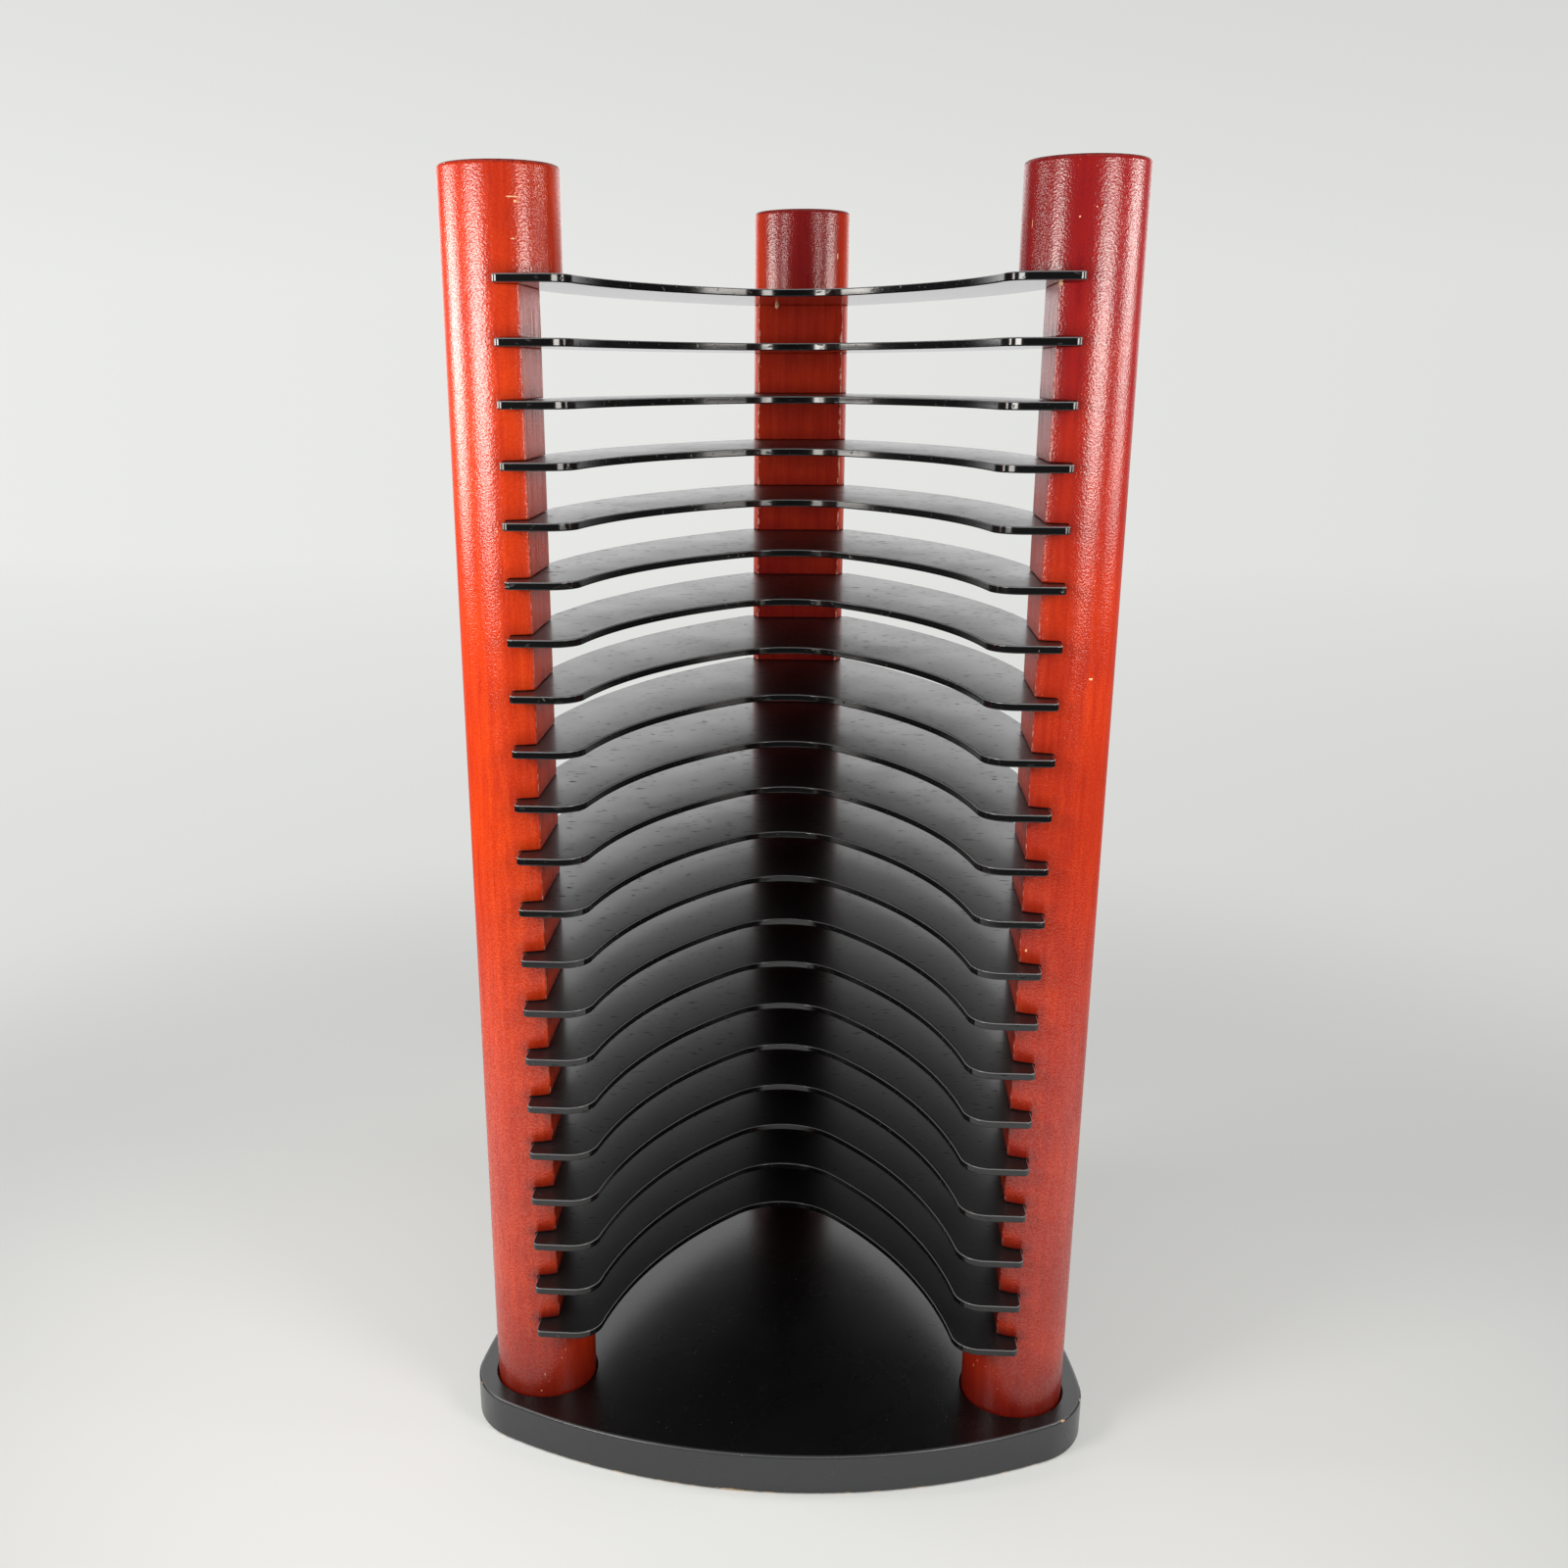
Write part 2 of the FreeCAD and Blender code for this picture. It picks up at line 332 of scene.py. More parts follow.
    # End grain at the top drinks more stain
    end_grain = add(tree, "Attribute", attribute_name="end_grain").outputs["Fac"]
    ring_field = {"Vector": place, "Scale": 1 / ring_width, "Distortion": 3.0, "Detail": 2.0}
    ring_field = add(tree, "TexWave", ring_field).outputs[1]
    rings = {0: ring_field, 6: linear("#5E120A"), 7: linear("#7C1C0F")}
    rings = add(tree, "Mix", rings, data_type="RGBA").outputs[2]
    stain = add(tree, "Mix", {0: end_grain, 6: stain, 7: rings}, data_type="RGBA").outputs[2]
    # Bare wood where the edges are worn and where the lacquer is chipped; along the flats' edges the pale
    # pink wear is also a painted highlight
    worn = add(tree, "Attribute", attribute_name="wear").outputs["Fac"]
    rub_map = {"Vector": place, "Scale": (1 / rub_width, 1 / rub_width, 1 / rub_length)}
    rub_map = add(tree, "Mapping", rub_map).outputs[0]
    rub_field = add(tree, "TexNoise", {"Vector": rub_map, "Scale": 1.0, "Detail": 2.0}).outputs[0]
    rub = add(tree, "Math", {0: rub_field, 1: worn}, operation="ADD").outputs[0]
    rubbed = add(tree, "MapRange", {"Value": rub, "From Min": 1.42, "From Max": 1.6}).outputs[0]
    chips = chip_mask(tree, place, spots_on_posts(post_chips), fleck_field)
    bared = add(tree, "Math", {0: rubbed, 1: chips}, operation="MAXIMUM").outputs[0]
    colour = add(tree, "Mix", {0: rubbed, 6: stain, 7: linear("#E4AB9C")}, data_type="RGBA").outputs[2]
    colour = add(tree, "Mix", {0: chips, 6: colour, 7: linear("#F0B98C")}, data_type="RGBA").outputs[2]
    sunk = add(tree, "Math", {0: cuts, 1: -0.3, 2: peel_field}, operation="MULTIPLY_ADD").outputs[0]
    skin = add(tree, "Bump", {"Height": sunk, "Strength": 1.0, "Distance": peel_depth}).outputs[0]
    matt = add(tree, "MapRange", {"Value": bared, "To Min": 0.42, "To Max": 0.7}).outputs[0]
    dull = add(tree, "Math", {0: bared, 1: end_grain}, operation="MAXIMUM").outputs[0]
    # The coat is duller in the hollows, and streaky along the cutter's marks
    sandy = {"Value": peel_field, "From Min": 0.38, "From Max": 0.6, "To Min": 0.54}
    sandy = add(tree, "MapRange", sandy).outputs[0]
    streaky = add(tree, "MapRange", {"Value": cuts, "To Min": 0.75, "To Max": 0.2}).outputs[0]
    on_flat = add(tree, "MapRange", {"Value": milled, "From Max": 0.25}).outputs[0]
    sandy = add(tree, "Mix", {0: on_flat, 2: sandy, 3: streaky}).outputs[0]
    coat = add(tree, "Math", {0: 1.0, 1: dull}, operation="SUBTRACT").outputs[0]
    coat = add(tree, "Math", {0: coat, 1: sandy}, operation="MULTIPLY").outputs[0]
    fill(tree, shader, {
        "Base Color": colour, "Roughness": matt, "Normal": skin, "IOR": 1.5, "Specular IOR Level": 0.0,
        "Coat Weight": coat, "Coat Roughness": 0.22, "Coat IOR": 1.58, "Coat Normal": skin,
    })
    return material


def lacquered_shelf_board():
    # Thin board, sanded and sprayed with black gloss lacquer: undersides and edges mirror their
    # surroundings, cases have rubbed the upper faces duller, short pores run across the shelf, and rounded
    # edges catch thin bright lines; the upper rounds are also painted grey, as rub wear and a painted
    # highlight line.
    material, tree, shader, place = start_material("thin_board_black_gloss_lacquer")
    # Sanding lines are about 0.1 mm apart, drawn coarser so that they show
    line_length = 14.0 * MM
    line_width = 0.5 * MM
    # Pores are about 0.3 mm wide, drawn coarser so that they show at a low angle
    pore_length = 3.0 * MM
    pore_width = 1.1 * MM
    pore_depth = 0.03 * MM
    dust_size = 0.7 * MM
    smear_size = 18.0 * MM
    line_map = {"Vector": place, "Scale": (1 / line_length, 1 / line_width, 1 / line_width)}
    line_map = add(tree, "Mapping", line_map).outputs[0]
    lines = add(tree, "TexNoise", {"Vector": line_map, "Scale": 1.0, "Detail": 2.0}).outputs[0]
    pore_map = {"Vector": place, "Scale": (1 / pore_length, 1 / pore_width, 1 / pore_width)}
    pore_map = add(tree, "Mapping", pore_map).outputs[0]
    pore_field = add(tree, "TexNoise", {"Vector": pore_map, "Scale": 1.0, "Detail": 0.0}).outputs[0]
    pores = add(tree, "MapRange", {"Value": pore_field, "From Min": 0.72, "From Max": 0.8}).outputs[0]
    coat = add(tree, "Attribute", attribute_name="coat").outputs["Fac"]
    bare = add(tree, "Math", {0: 1.0, 1: coat}, operation="SUBTRACT").outputs[0]
    pores = add(tree, "Math", {0: pores, 1: bare}, operation="MULTIPLY").outputs[0]
    dust_field = add(tree, "TexNoise", {"Vector": place, "Scale": 1 / dust_size, "Detail": 1.0}).outputs[0]
    dust = {"Value": dust_field, "From Min": 0.76, "From Max": 0.8, "To Max": 0.5}
    dust = add(tree, "MapRange", dust).outputs[0]
    smear_field = add(tree, "TexNoise", {"Vector": place, "Scale": 1 / smear_size, "Detail": 3.0}).outputs[0]
    edge = add(tree, "Attribute", attribute_name="edge").outputs["Fac"]
    black = {0: edge, 6: linear("#121213"), 7: linear("#0E0E0F")}
    black = add(tree, "Mix", black, data_type="RGBA").outputs[2]
    # The upper rounds are painted grey: rub wear and a painted highlight line
    rubbed = add(tree, "Attribute", attribute_name="rubbed").outputs["Fac"]
    black = add(tree, "Mix", {0: rubbed, 6: black, 7: linear("#747476")}, data_type="RGBA").outputs[2]
    colour = add(tree, "Mix", {0: dust, 6: black, 7: linear("#8E8A84")}, data_type="RGBA").outputs[2]
    face_gloss = add(tree, "MapRange", {"Value": smear_field, "To Min": 0.3, "To Max": 0.42}).outputs[0]
    gloss = add(tree, "Mix", {0: edge, 2: face_gloss, 3: 0.12}).outputs[0]
    gloss = add(tree, "Math", {0: pores, 1: 0.3, 2: gloss}, operation="MULTIPLY_ADD").outputs[0]
    unfilled = add(tree, "Math", {0: 1.0, 1: pores}, operation="SUBTRACT").outputs[0]
    coat = add(tree, "Math", {0: coat, 1: unfilled}, operation="MULTIPLY").outputs[0]
    faint = add(tree, "Math", {0: lines, 1: 0.15}, operation="MULTIPLY").outputs[0]
    skin = add(tree, "Math", {0: pores, 1: -1.0, 2: faint}, operation="MULTIPLY_ADD").outputs[0]
    relief = add(tree, "Bump", {"Height": skin, "Strength": 0.8, "Distance": pore_depth}).outputs[0]
    fill(tree, shader, {
        "Base Color": colour, "Roughness": gloss, "Normal": relief, "IOR": 1.45,
        "Coat Weight": coat, "Coat Roughness": 0.1, "Coat IOR": 1.5, "Coat Normal": relief,
    })
    return material


def painted_base_board():
    # Thick board, edges routed round and sprayed satin black: a soft sheen with fine paint grain, dust on
    # top, nicks that show the pale board and a rubbed line along the floor edge. The rim is painted lighter
    # grey than the top, a painted reflection of the bright floor.
    material, tree, shader, place = start_material("board_routed_black_satin_paint")
    # Paint grain is about 0.2 mm, drawn coarser so that it shows
    paint_grain = 0.7 * MM
    grain_depth = 0.04 * MM
    smear_size = 25.0 * MM
    rub_size = 3.0 * MM
    grain_field = {"Vector": place, "Scale": 1 / paint_grain, "Detail": 2.0}
    grain_field = add(tree, "TexNoise", grain_field).outputs[0]
    smear_field = {"Vector": place, "Scale": 1 / smear_size, "Detail": 3.0}
    smear_field = add(tree, "TexNoise", smear_field).outputs[0]
    dust = {"Value": grain_field, "From Min": 0.72, "From Max": 0.78, "To Max": 0.6}
    dust = add(tree, "MapRange", dust).outputs[0]
    worn = add(tree, "Attribute", attribute_name="wear").outputs["Fac"]
    rub_field = add(tree, "TexNoise", {"Vector": place, "Scale": 1 / rub_size, "Detail": 4.0}).outputs[0]
    rub = add(tree, "Math", {0: rub_field, 1: worn}, operation="ADD").outputs[0]
    rubbed = add(tree, "MapRange", {"Value": rub, "From Min": 1.5, "From Max": 1.62}).outputs[0]
    spots = [tuple(tuple(MM * part for part in triple) for triple in nick) for nick in base_nicks]
    nicks = chip_mask(tree, place, spots, grain_field)
    bared = add(tree, "Math", {0: rubbed, 1: nicks}, operation="MAXIMUM").outputs[0]
    rim = add(tree, "Attribute", attribute_name="rim").outputs["Fac"]
    # Painted reflection: the rim is painted lighter grey than the top, for the bright floor it faces
    black = {0: rim, 6: linear("#09090A"), 7: linear("#36373A")}
    black = add(tree, "Mix", black, data_type="RGBA").outputs[2]
    paint = add(tree, "Mix", {0: dust, 6: black, 7: linear("#77736C")}, data_type="RGBA").outputs[2]
    colour = add(tree, "Mix", {0: bared, 6: paint, 7: linear("#C9A878")}, data_type="RGBA").outputs[2]
    sheen = add(tree, "MapRange", {"Value": smear_field, "To Min": 0.22, "To Max": 0.32}).outputs[0]
    gloss = add(tree, "Mix", {0: bared, 2: sheen, 3: 0.75}).outputs[0]
    relief = add(tree, "Bump", {"Height": grain_field, "Strength": 0.7, "Distance": grain_depth}).outputs[0]
    fill(tree, shader, {"Base Color": colour, "Roughness": gloss, "Normal": relief, "IOR": 1.52})
    return material


def zinc_plated_steel():
    # Steel screws, cold-headed and zinc plated: a bright grey metal with faint bluish spangle.
    material, tree, shader, place = start_material("steel_cold_headed_zinc_plated")
    spangle_size = 0.8 * MM
    spangle = add(tree, "TexNoise", {"Vector": place, "Scale": 1 / spangle_size, "Detail": 2.0}).outputs[0]
    colour = {0: spangle, 6: linear("#A9ADB3"), 7: linear("#C9CBCD")}
    colour = add(tree, "Mix", colour, data_type="RGBA").outputs[2]
    gloss = add(tree, "MapRange", {"Value": spangle, "To Min": 0.22, "To Max": 0.42}).outputs[0]
    fill(tree, shader, {"Base Color": colour, "Metallic": 1.0, "Roughness": gloss})
    return material


def dried_glue():
    # Wood glue, squeezed out of the kerf and dried: a hard amber bead with a waxy gloss.
    material, tree, shader, place = start_material("wood_glue_dried_bead")
    cloud_size = 0.9 * MM
    cloud_depth = 0.1 * MM
    tint_field = add(tree, "TexNoise", {"Vector": place, "Scale": 1 / cloud_size, "Detail": 2.0}).outputs[0]
    colour = {0: tint_field, 6: linear("#B4814E"), 7: linear("#E2BE96")}
    colour = add(tree, "Mix", colour, data_type="RGBA").outputs[2]
    gloss = add(tree, "MapRange", {"Value": tint_field, "To Min": 0.2, "To Max": 0.4}).outputs[0]
    relief = add(tree, "Bump", {"Height": tint_field, "Strength": 0.5, "Distance": cloud_depth}).outputs[0]
    fill(tree, shader, {"Base Color": colour, "Roughness": gloss, "Normal": relief, "IOR": 1.47})
    return material


def grid_faces(rows, columns, closed):
    """Corner numbers of a grid's quads, points stored row by row; a closed grid joins its last column to its
    first."""
    across = columns if closed else columns - 1
    row, column = np.meshgrid(np.arange(rows - 1), np.arange(across), indexing="ij")
    after = (column + 1) % columns
    below = row * columns
    above = below + columns
    return np.stack([below + column, below + after, above + after, above + column], axis=-1).reshape(-1, 4)


def add_piece(name, points, faces, material, slot, replaced=(), **attributes):
    """Smooth mesh piece at the origin that rides on the tower's one body."""
    mesh = bpy.data.meshes.new(name)
    mesh.from_pydata(points.tolist(), [], faces, shade_flat=False)
    for key, values in attributes.items():
        attribute = mesh.attributes.new(key, "FLOAT", "POINT")
        attribute.data.foreach_set("value", values.astype(np.float32).ravel())
    mesh.materials.append(material)
    piece = bpy.data.objects.new(name, mesh)
    bpy.context.scene.collection.objects.link(piece)
    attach(piece, "root")
    if replaced:
        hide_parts(*replaced)
    return piece


def post_section(angle, setback):
    """Distance from a post's axis to its outline at each angle from the middle of the flat: the setback over
    the cosine along the flat, then a small round that touches flat and circle, then the circle."""
    least_cosine = 0.01
    angle = np.abs((angle + math.pi) % (2 * math.pi) - math.pi)
    centre_in = setback - flat_edge_round
    centre_out = math.sqrt(max((post_radius - flat_edge_round) ** 2 - centre_in ** 2, 0.0))
    flat = setback / np.maximum(np.cos(angle), least_cosine)
    along = centre_in * np.cos(angle) + centre_out * np.sin(angle)
    inside = flat_edge_round ** 2 - centre_in ** 2 - centre_out ** 2 + along ** 2
    rounded = along + np.sqrt(np.maximum(inside, 0.0))
    on_flat = angle < math.atan2(centre_out, setback)
    on_circle = angle > math.atan2(centre_out, centre_in)
    return np.where(on_flat, flat, np.where(on_circle, post_radius, rounded))


def edge_angles(setback):
    """Angles at which the flat at a setback ends and at which the circle starts."""
    centre_in = setback - flat_edge_round
    centre_out = math.sqrt((post_radius - flat_edge_round) ** 2 - centre_in ** 2)
    return math.atan2(centre_out, setback), math.atan2(centre_out, centre_in)


def post_columns():
    """Angles of a post's columns: close together at the edges of the flat and the kerfs, even elsewhere."""
    flat_columns = 10
    edge_columns = 5
    side_columns = 5
    kerf_edge_columns = 4
    back_columns = 24
    flat_end, flat_round = edge_angles(flat_setback)
    kerf_end, kerf_round = edge_angles(kerf_setback)
    half_flat = flat_setback * math.tan(flat_end)
    across = np.linspace(0.0, half_flat - wear_and_highlight_reach, flat_columns)
    near = np.array([half_flat - 2 * support_gap, half_flat - support_gap])
    on_flat = np.arctan2(np.concatenate([across, near]), flat_setback)
    on_round = np.linspace(flat_end, flat_round, edge_columns)
    past_edge = flat_round + np.array([support_gap, wear_and_highlight_reach]) / post_radius
    to_kerf = np.linspace(past_edge[-1], kerf_end, side_columns)[1:-1]
    on_kerf = np.linspace(kerf_end, kerf_round, kerf_edge_columns)
    on_back = np.linspace(kerf_round, math.pi, back_columns)[1:]
    half = np.concatenate([on_flat, on_round, past_edge, to_kerf, on_kerf, on_back])
    return np.concatenate([half, 2 * math.pi - half[-2:0:-1]]), flat_end, kerf_end


def make_post(name, turn, material):
    """Post as a distance from its axis over angle and height: full round below and above the shelves, cut
    back to the flat between kerfs and to the kerf's floor in them, with eased cut edges and a rounded top
    rim."""
    rim_rows = 7
    row_spread = 0.4 * kerf_edge_ease
    cut_limit = 0.999 * post_radius
    angle, flat_end, kerf_end = post_columns()
    from_middle = np.abs((angle + math.pi) % (2 * math.pi) - math.pi)
    in_cut = from_middle < kerf_end
    edge_wear = np.clip(1 - np.abs(from_middle - flat_end) * post_radius / wear_and_highlight_reach, 0, 1)
    full = post_section(angle, post_radius)
    flat = post_section(angle, flat_setback)
    kerf = post_section(angle, kerf_setback)
    even = np.ones_like(angle)
    # Each row: height, distance from the axis, wear and end grain
    rows = [
        (pilot_end, pilot_radius * even, 0 * even, even),
        (post_foot, pilot_radius * even, 0 * even, even),
    ]
    # Off the cut side, rows that would share a height are spread a little so that the round surface stays
    # smooth
    spread = np.where(in_cut, 0.0, row_spread)
    kerf_tops = [level + shelf_thickness + kerf_play for level in shelf_levels]
    spans = list(zip([post_foot] + kerf_tops, shelf_levels + [post_top - post_rim_round]))
    for number, (start, end) in enumerate(spans):
        first = number == 0
        last = number == len(spans) - 1
        section = full if first or last else flat
        along_edge = 0 * even if first or last else edge_wear
        steps = np.array([0, kerf_edge_ease, kerf_edge_ease + support_gap, wear_and_highlight_reach, painted_shade_reach])
        for step in steps:
            inset = 0 if first else max(kerf_edge_ease - step, 0)
            lifted = start + step + (0 if first or step else spread)
            rows.append((lifted, section - inset * in_cut, along_edge, 0 * even))
        for step in steps[::-1]:
            inset = 0 if last else max(kerf_edge_ease - step, 0)
            lowered = end - step - (0 if last or step else spread)
            rows.append((lowered, section - inset * in_cut, along_edge, 0 * even))
        if not last:
            rows.append((end + spread, kerf, 0 * even, 0 * even))
            rows.append((spans[number + 1][0] - spread, kerf, 0 * even, 0 * even))
    for lift in np.linspace(0, math.pi / 2, rim_rows)[1:]:
        height = post_top - post_rim_round * (1 - math.sin(lift))
        rim = full - post_rim_round * (1 - math.cos(lift))
        rows.append((height, rim, math.sin(2 * lift) * rim_wear * even, math.sin(lift) * even))
    rows.append((post_top, full - post_rim_round - support_gap, 0 * even, even))
    height, distance, wear, end_grain = (np.stack([np.broadcast_to(row[part], angle.shape) for row in rows])
                                         for part in range(4))
    in_flat = np.broadcast_to(in_cut, height.shape) * (distance < cut_limit)
    # Painted light: the rear post's round sides are paler where the side lamps light them
    lit_side = np.interp(from_middle, painted_side_light_angles, (0, 1)) * (1 - in_flat)
    # Deep colour by height, partly painted shade, and less on the rear post's sides as painted light
    deep = np.interp(height / MM, *stain_and_shade_depth[name]) * (1 - painted_side_light[name] * lit_side)
    flat_side = cut_marks[name] * in_flat
    # Height above the floor that each point's span starts from: a shelf's upper face, or the base plate
    floors = np.array([base_top] + [level + shelf_thickness for level in shelf_levels])
    above = height - floors[np.clip(np.searchsorted(floors, height + kerf_play) - 1, 0, None)]
    near_floor = np.clip(1 - above / painted_shade_reach, 0, 1)
    at_foot = height < shelf_levels[0]
    painted_shade_share = np.interp(height / MM, *painted_shade_heights) * np.clip((painted_shade_end - from_middle) / painted_shade_fade, 0, 1)
    # Painted shade: darker just above each shelf and round the foot
    painted_shade = near_floor * np.where(at_foot, foot_painted_shade, painted_shade_share)
    x = post_axes[name][0] + distance * np.cos(angle + turn)
    y = post_axes[name][1] + distance * np.sin(angle + turn)
    points = np.stack([x, y, height], axis=-1).reshape(-1, 3)
    columns = len(angle)
    foot_cap = np.arange(columns)[::-1]
    top_cap = np.arange(columns) + (len(rows) - 1) * columns
    faces = grid_faces(len(rows), columns, True).tolist() + [foot_cap.tolist(), top_cap.tolist()]
    tones = {"wear": wear, "end_grain": end_grain, "deep": deep, "milled": flat_side, "painted_shade": painted_shade}
    return add_piece(name + "_wood", points, faces, material, "post_wood", [name], **tones)


def arc_points(centre, radius, start, end, count):
    """Points of an arc from one angle to another."""
    angle = np.linspace(start, end, count)
    return np.stack([centre[0] + radius * np.cos(angle), centre[1] + radius * np.sin(angle)], axis=-1)


def bearing(start, end):
    """Angle of the way from one point in plan to another."""
    return math.atan2(end[1] - start[1], end[0] - start[0])


def shelf_halves():
    """Left half of a shelf in plan, as two paths of as many points: the outer side from the rear middle to
    the tab's outer corner, and the finger bay from its tip to the tab's inner end. Each is made of arcs
    that touch."""
    tip_points = 24
    bay_points = 61
    mouth_points = 25
    rear_points = 24
    side_points = 73
    corner_points = 13
    half_width = shelf_high.x
    front = shelf_low.y
    rear = shelf_high.y
    tab_end = np.array([tab_length - half_width, front])
    tip_centre = np.array([0.0, front + bay_depth - bay_tip_radius])
    span = tip_centre - tab_end
    reach = np.hypot(*span)
    inner_radius = bay_side_radius - bay_tip_radius
    along = (bay_side_radius ** 2 - inner_radius ** 2 + reach ** 2) / (2 * reach)
    aside = math.sqrt(bay_side_radius ** 2 - along ** 2)
    bay_centre = tab_end + span / reach * along + np.array([span[1], -span[0]]) / reach * aside
    mouth_y = front + bay_mouth_round
    mouth_reach = math.sqrt((bay_side_radius + bay_mouth_round) ** 2 - (mouth_y - bay_centre[1]) ** 2)
    mouth_centre = np.array([bay_centre[0] - mouth_reach, mouth_y])
    tip_turn = bearing(bay_centre, tip_centre)
    mouth_turn = bearing(bay_centre, mouth_centre)
    bay = np.concatenate([
        arc_points(tip_centre, bay_tip_radius, math.pi / 2, tip_turn, tip_points),
        arc_points(bay_centre, bay_side_radius, tip_turn, mouth_turn, bay_points)[1:],
        arc_points(mouth_centre, bay_mouth_round, mouth_turn - math.pi, -math.pi / 2, mouth_points)[1:],
    ])
    tip_half_width = post_radius + shelf_tip_reach
    corner_centre = np.array([shelf_corner_round - half_width, front + shelf_corner_round])
    inset = half_width - tip_half_width
    depth = rear - corner_centre[1]
    side_radius = (inset ** 2 + depth ** 2) / (2 * inset)
    side_centre = np.array([side_radius - half_width, corner_centre[1]])
    side_turn = math.pi - math.asin(depth / side_radius)
    rear_edge = np.stack([np.linspace(0, -tip_half_width, rear_points), np.full(rear_points, rear)], axis=-1)
    outer = np.concatenate([
        rear_edge,
        arc_points(side_centre, side_radius, side_turn, math.pi, side_points)[1:],
        arc_points(corner_centre, shelf_corner_round, math.pi, 1.5 * math.pi, corner_points)[1:],
    ])
    return outer, bay


def shelf_mesh():
    """Shelf at level zero: the outline carried round a profile with rounded upper and lower edges, its
    offset taken along the outline's normals, and both faces ruled between the outer side and the finger
    bay."""
    round_rows = 5
    outer, bay = shelf_halves()
    mirror = np.array([-1, 1])
    outer_side = np.concatenate([(outer * mirror)[::-1], outer[1:]])
    bay_side = np.concatenate([bay[::-1], (bay * mirror)[1:]])
    outline = np.concatenate([outer_side, bay_side])
    ahead = np.roll(outline, -1, axis=0) - outline
    ahead = ahead / np.linalg.norm(ahead, axis=1, keepdims=True)
    behind = np.roll(ahead, 1, axis=0)
    normal = np.stack([ahead[:, 1] + behind[:, 1], -ahead[:, 0] - behind[:, 0]], axis=-1)
    # A normal is lengthened at a corner so that both sides there are offset evenly
    normal = 2 * normal / np.sum(normal ** 2, axis=1, keepdims=True)
    lift = np.linspace(0, math.pi / 2, round_rows)
    lower = shelf_edge_round * np.stack([1 - np.sin(lift), 1 - np.cos(lift)], axis=-1)
    upper = lower[::-1] * np.array([1, -1]) + np.array([0, shelf_thickness])
    upright = np.array([[0.0, shelf_edge_round + shelf_support],
                        [0.0, shelf_thickness - shelf_edge_round - shelf_support]])
    low_face = np.array([[shelf_edge_round + support_gap, 0.0]])
    high_face = np.array([[shelf_edge_round + support_gap, shelf_thickness]])
    profile = np.concatenate([low_face, lower, upright, upper, high_face])
    plan = outline[None] - normal[None] * profile[:, 0][:, None, None]
    height = np.broadcast_to(profile[:, 1][:, None, None], (len(profile), len(outline), 1))
    points = np.concatenate([plan, height], axis=-1).reshape(-1, 3)
    edge = np.ones((len(profile), len(outline)))
    edge[[0, -1]] = 0.0
    coat = np.full_like(edge, edge_coat)
    coat[0] = under_coat
    coat[-1] = upper_coat
    # The rows within the upper round are painted grey: rub wear and a painted highlight line
    rubbed = np.zeros_like(edge)
    rubbed[-round_rows:-2] = edge_rub_and_highlight
    count = len(outer_side)
    ruled = np.arange(count - 1)
    across = 2 * count - 1 - ruled
    top = np.stack([ruled, ruled + 1, across - 1, across], axis=-1) + (len(profile) - 1) * len(outline)
    bottom = np.stack([across, across - 1, ruled + 1, ruled], axis=-1)
    faces = grid_faces(len(profile), len(outline), True).tolist() + top.tolist() + bottom.tolist()
    return points, faces, {"edge": edge, "coat": coat, "rubbed": rubbed}


def base_cell(inset):
    """A third of the base plate's outline, about the middle of the tower with its corner towards +X: half a
    bowed side, the corner's arc and half the next side, all moved in by the inset."""
    corner_points = 16
    side_points = 33
    corner_radius = post_radius + base_margin
    corner = np.array([tower_reach, 0.0])
    half_spacing = tower_reach * math.sqrt(3) / 2
    side_reach = math.sqrt((base_side_radius - corner_radius) ** 2 - half_spacing ** 2)
    side_turn = math.pi / 3
    side_centre = (tower_reach / 2 - side_reach) * np.array([math.cos(side_turn), math.sin(side_turn)])
    joint_turn = bearing(side_centre, corner)
    half = np.concatenate([
        arc_points(corner, corner_radius - inset, 0.0, joint_turn, corner_points),
        arc_points(side_centre, base_side_radius - inset, joint_turn, side_turn, side_points)[1:],
    ])
    return np.concatenate([(half * np.array([1, -1]))[:0:-1], half])


def turned_about_middle(plan, turn):
    """Plan points turned about the tower's middle and moved there."""
    spin = np.array([[math.cos(turn), math.sin(turn)], [-math.sin(turn), math.cos(turn)]])
    return plan @ spin + tower_middle


